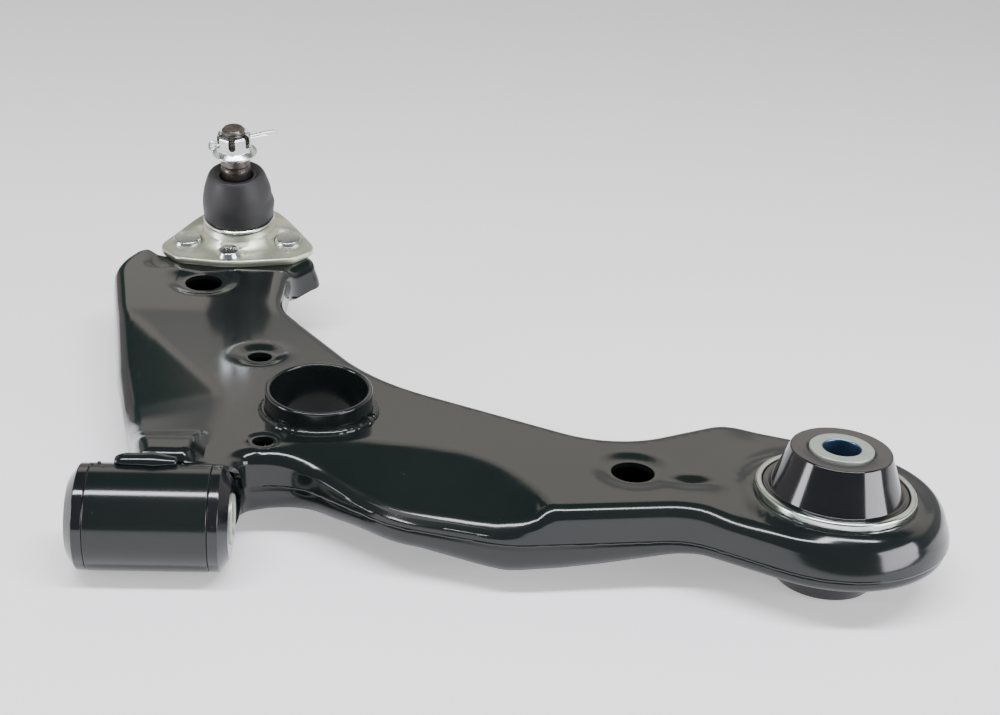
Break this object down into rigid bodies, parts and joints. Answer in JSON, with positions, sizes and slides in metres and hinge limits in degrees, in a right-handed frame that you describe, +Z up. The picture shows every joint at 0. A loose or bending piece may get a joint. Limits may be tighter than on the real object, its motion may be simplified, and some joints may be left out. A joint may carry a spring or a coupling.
{
  "type": "suspension control arm",
  "caption": "L-shaped pressed-steel lower control arm with a horizontal front bush, a vertical conical rear bush, a through collar and a riveted ball joint.",
  "frame": {"origin": "centre of the front bush, on its bore axis halfway along the sleeve", "axes": "+X rearward along the front bush bore, +Y outboard towards the ball joint, +Z up along the rear bush bore"},
  "size_m": [0.4121, 0.3804, 0.1227],
  "materials": {
    "black_paint": "gloss",
    "black_polyurethane": "gloss",
    "zinc_plate": "satin",
    "passivated_zinc": "satin",
    "bright_zinc": "bright",
    "seat_nylon": "matte",
    "boot_rubber": "satin",
    "stud_steel": "oiled"
  },
  "bodies": {
    "arm": {"upper_shell": "black_paint", "lower_shell": "black_paint", "front_tube": "black_paint", "tube_weld": "black_paint", "centre_collar": "black_paint", "collar_weld": "black_paint", "front_bush_half_fore": "black_polyurethane", "front_bush_half_aft": "black_polyurethane", "rear_bush_ring": "zinc_plate", "ball_joint_housing": "passivated_zinc", "ball_seat_upper": "seat_nylon", "ball_seat_lower": "seat_nylon", "housing_cap": "passivated_zinc", "side_rivets": "bright_zinc", "nose_rivet": "bright_zinc", "boot_base_ring": "bright_zinc"},
    "front_sleeve_body": {"front_sleeve": "zinc_plate"},
    "rear_bush": {"rear_bush_upper": "black_polyurethane", "rear_bush_lower": "black_polyurethane"},
    "rear_sleeve_body": {"rear_sleeve": "zinc_plate"},
    "ball_boot": {"dust_boot": "boot_rubber"},
    "boot_lip": {"boot_lip_ring": "bright_zinc"},
    "stud": {"ball_stud": "stud_steel", "castle_nut": "bright_zinc", "split_pin": "bright_zinc"}
  },
  "joints": [
    {"name": "front_sleeve_turn", "type": "hinge", "parent": "arm", "child": "front_sleeve_body", "pos_m": [0, 0, 0], "axis": [1, 0, 0], "continuous": true},
    {"name": "rear_bush_rock", "type": "hinge", "parent": "arm", "child": "rear_bush", "pos_m": [0.301, 0, 0.00875], "axis": [1, 0, 0], "range_deg": [-8, 8], "stiffness_Nm_per_rad": 40, "deforming": ["rear_bush_upper", "rear_bush_lower"]},
    {"name": "rear_sleeve_turn", "type": "hinge", "parent": "rear_bush", "child": "rear_sleeve_body", "pos_m": [0.301, 0, 0.00875], "axis": [0, 0, 1], "continuous": true},
    {"name": "ball_tilt_inboard", "type": "hinge", "parent": "arm", "child": "ball_boot", "pos_m": [0.012, 0.303, 0.029], "axis": [0.9994, 0, 0.0349], "range_deg": [-18, 18], "deforming": ["dust_boot"]},
    {"name": "ball_tilt_fore", "type": "hinge", "parent": "ball_boot", "child": "boot_lip", "pos_m": [0.012, 0.303, 0.029], "axis": [-0.0073, 0.9781, 0.2078], "range_deg": [-18, 18], "deforming": ["dust_boot"]},
    {"name": "ball_spin", "type": "hinge", "parent": "boot_lip", "child": "stud", "pos_m": [0.012, 0.303, 0.029], "axis": [-0.0341, -0.2079, 0.9776], "continuous": true}
  ]
}
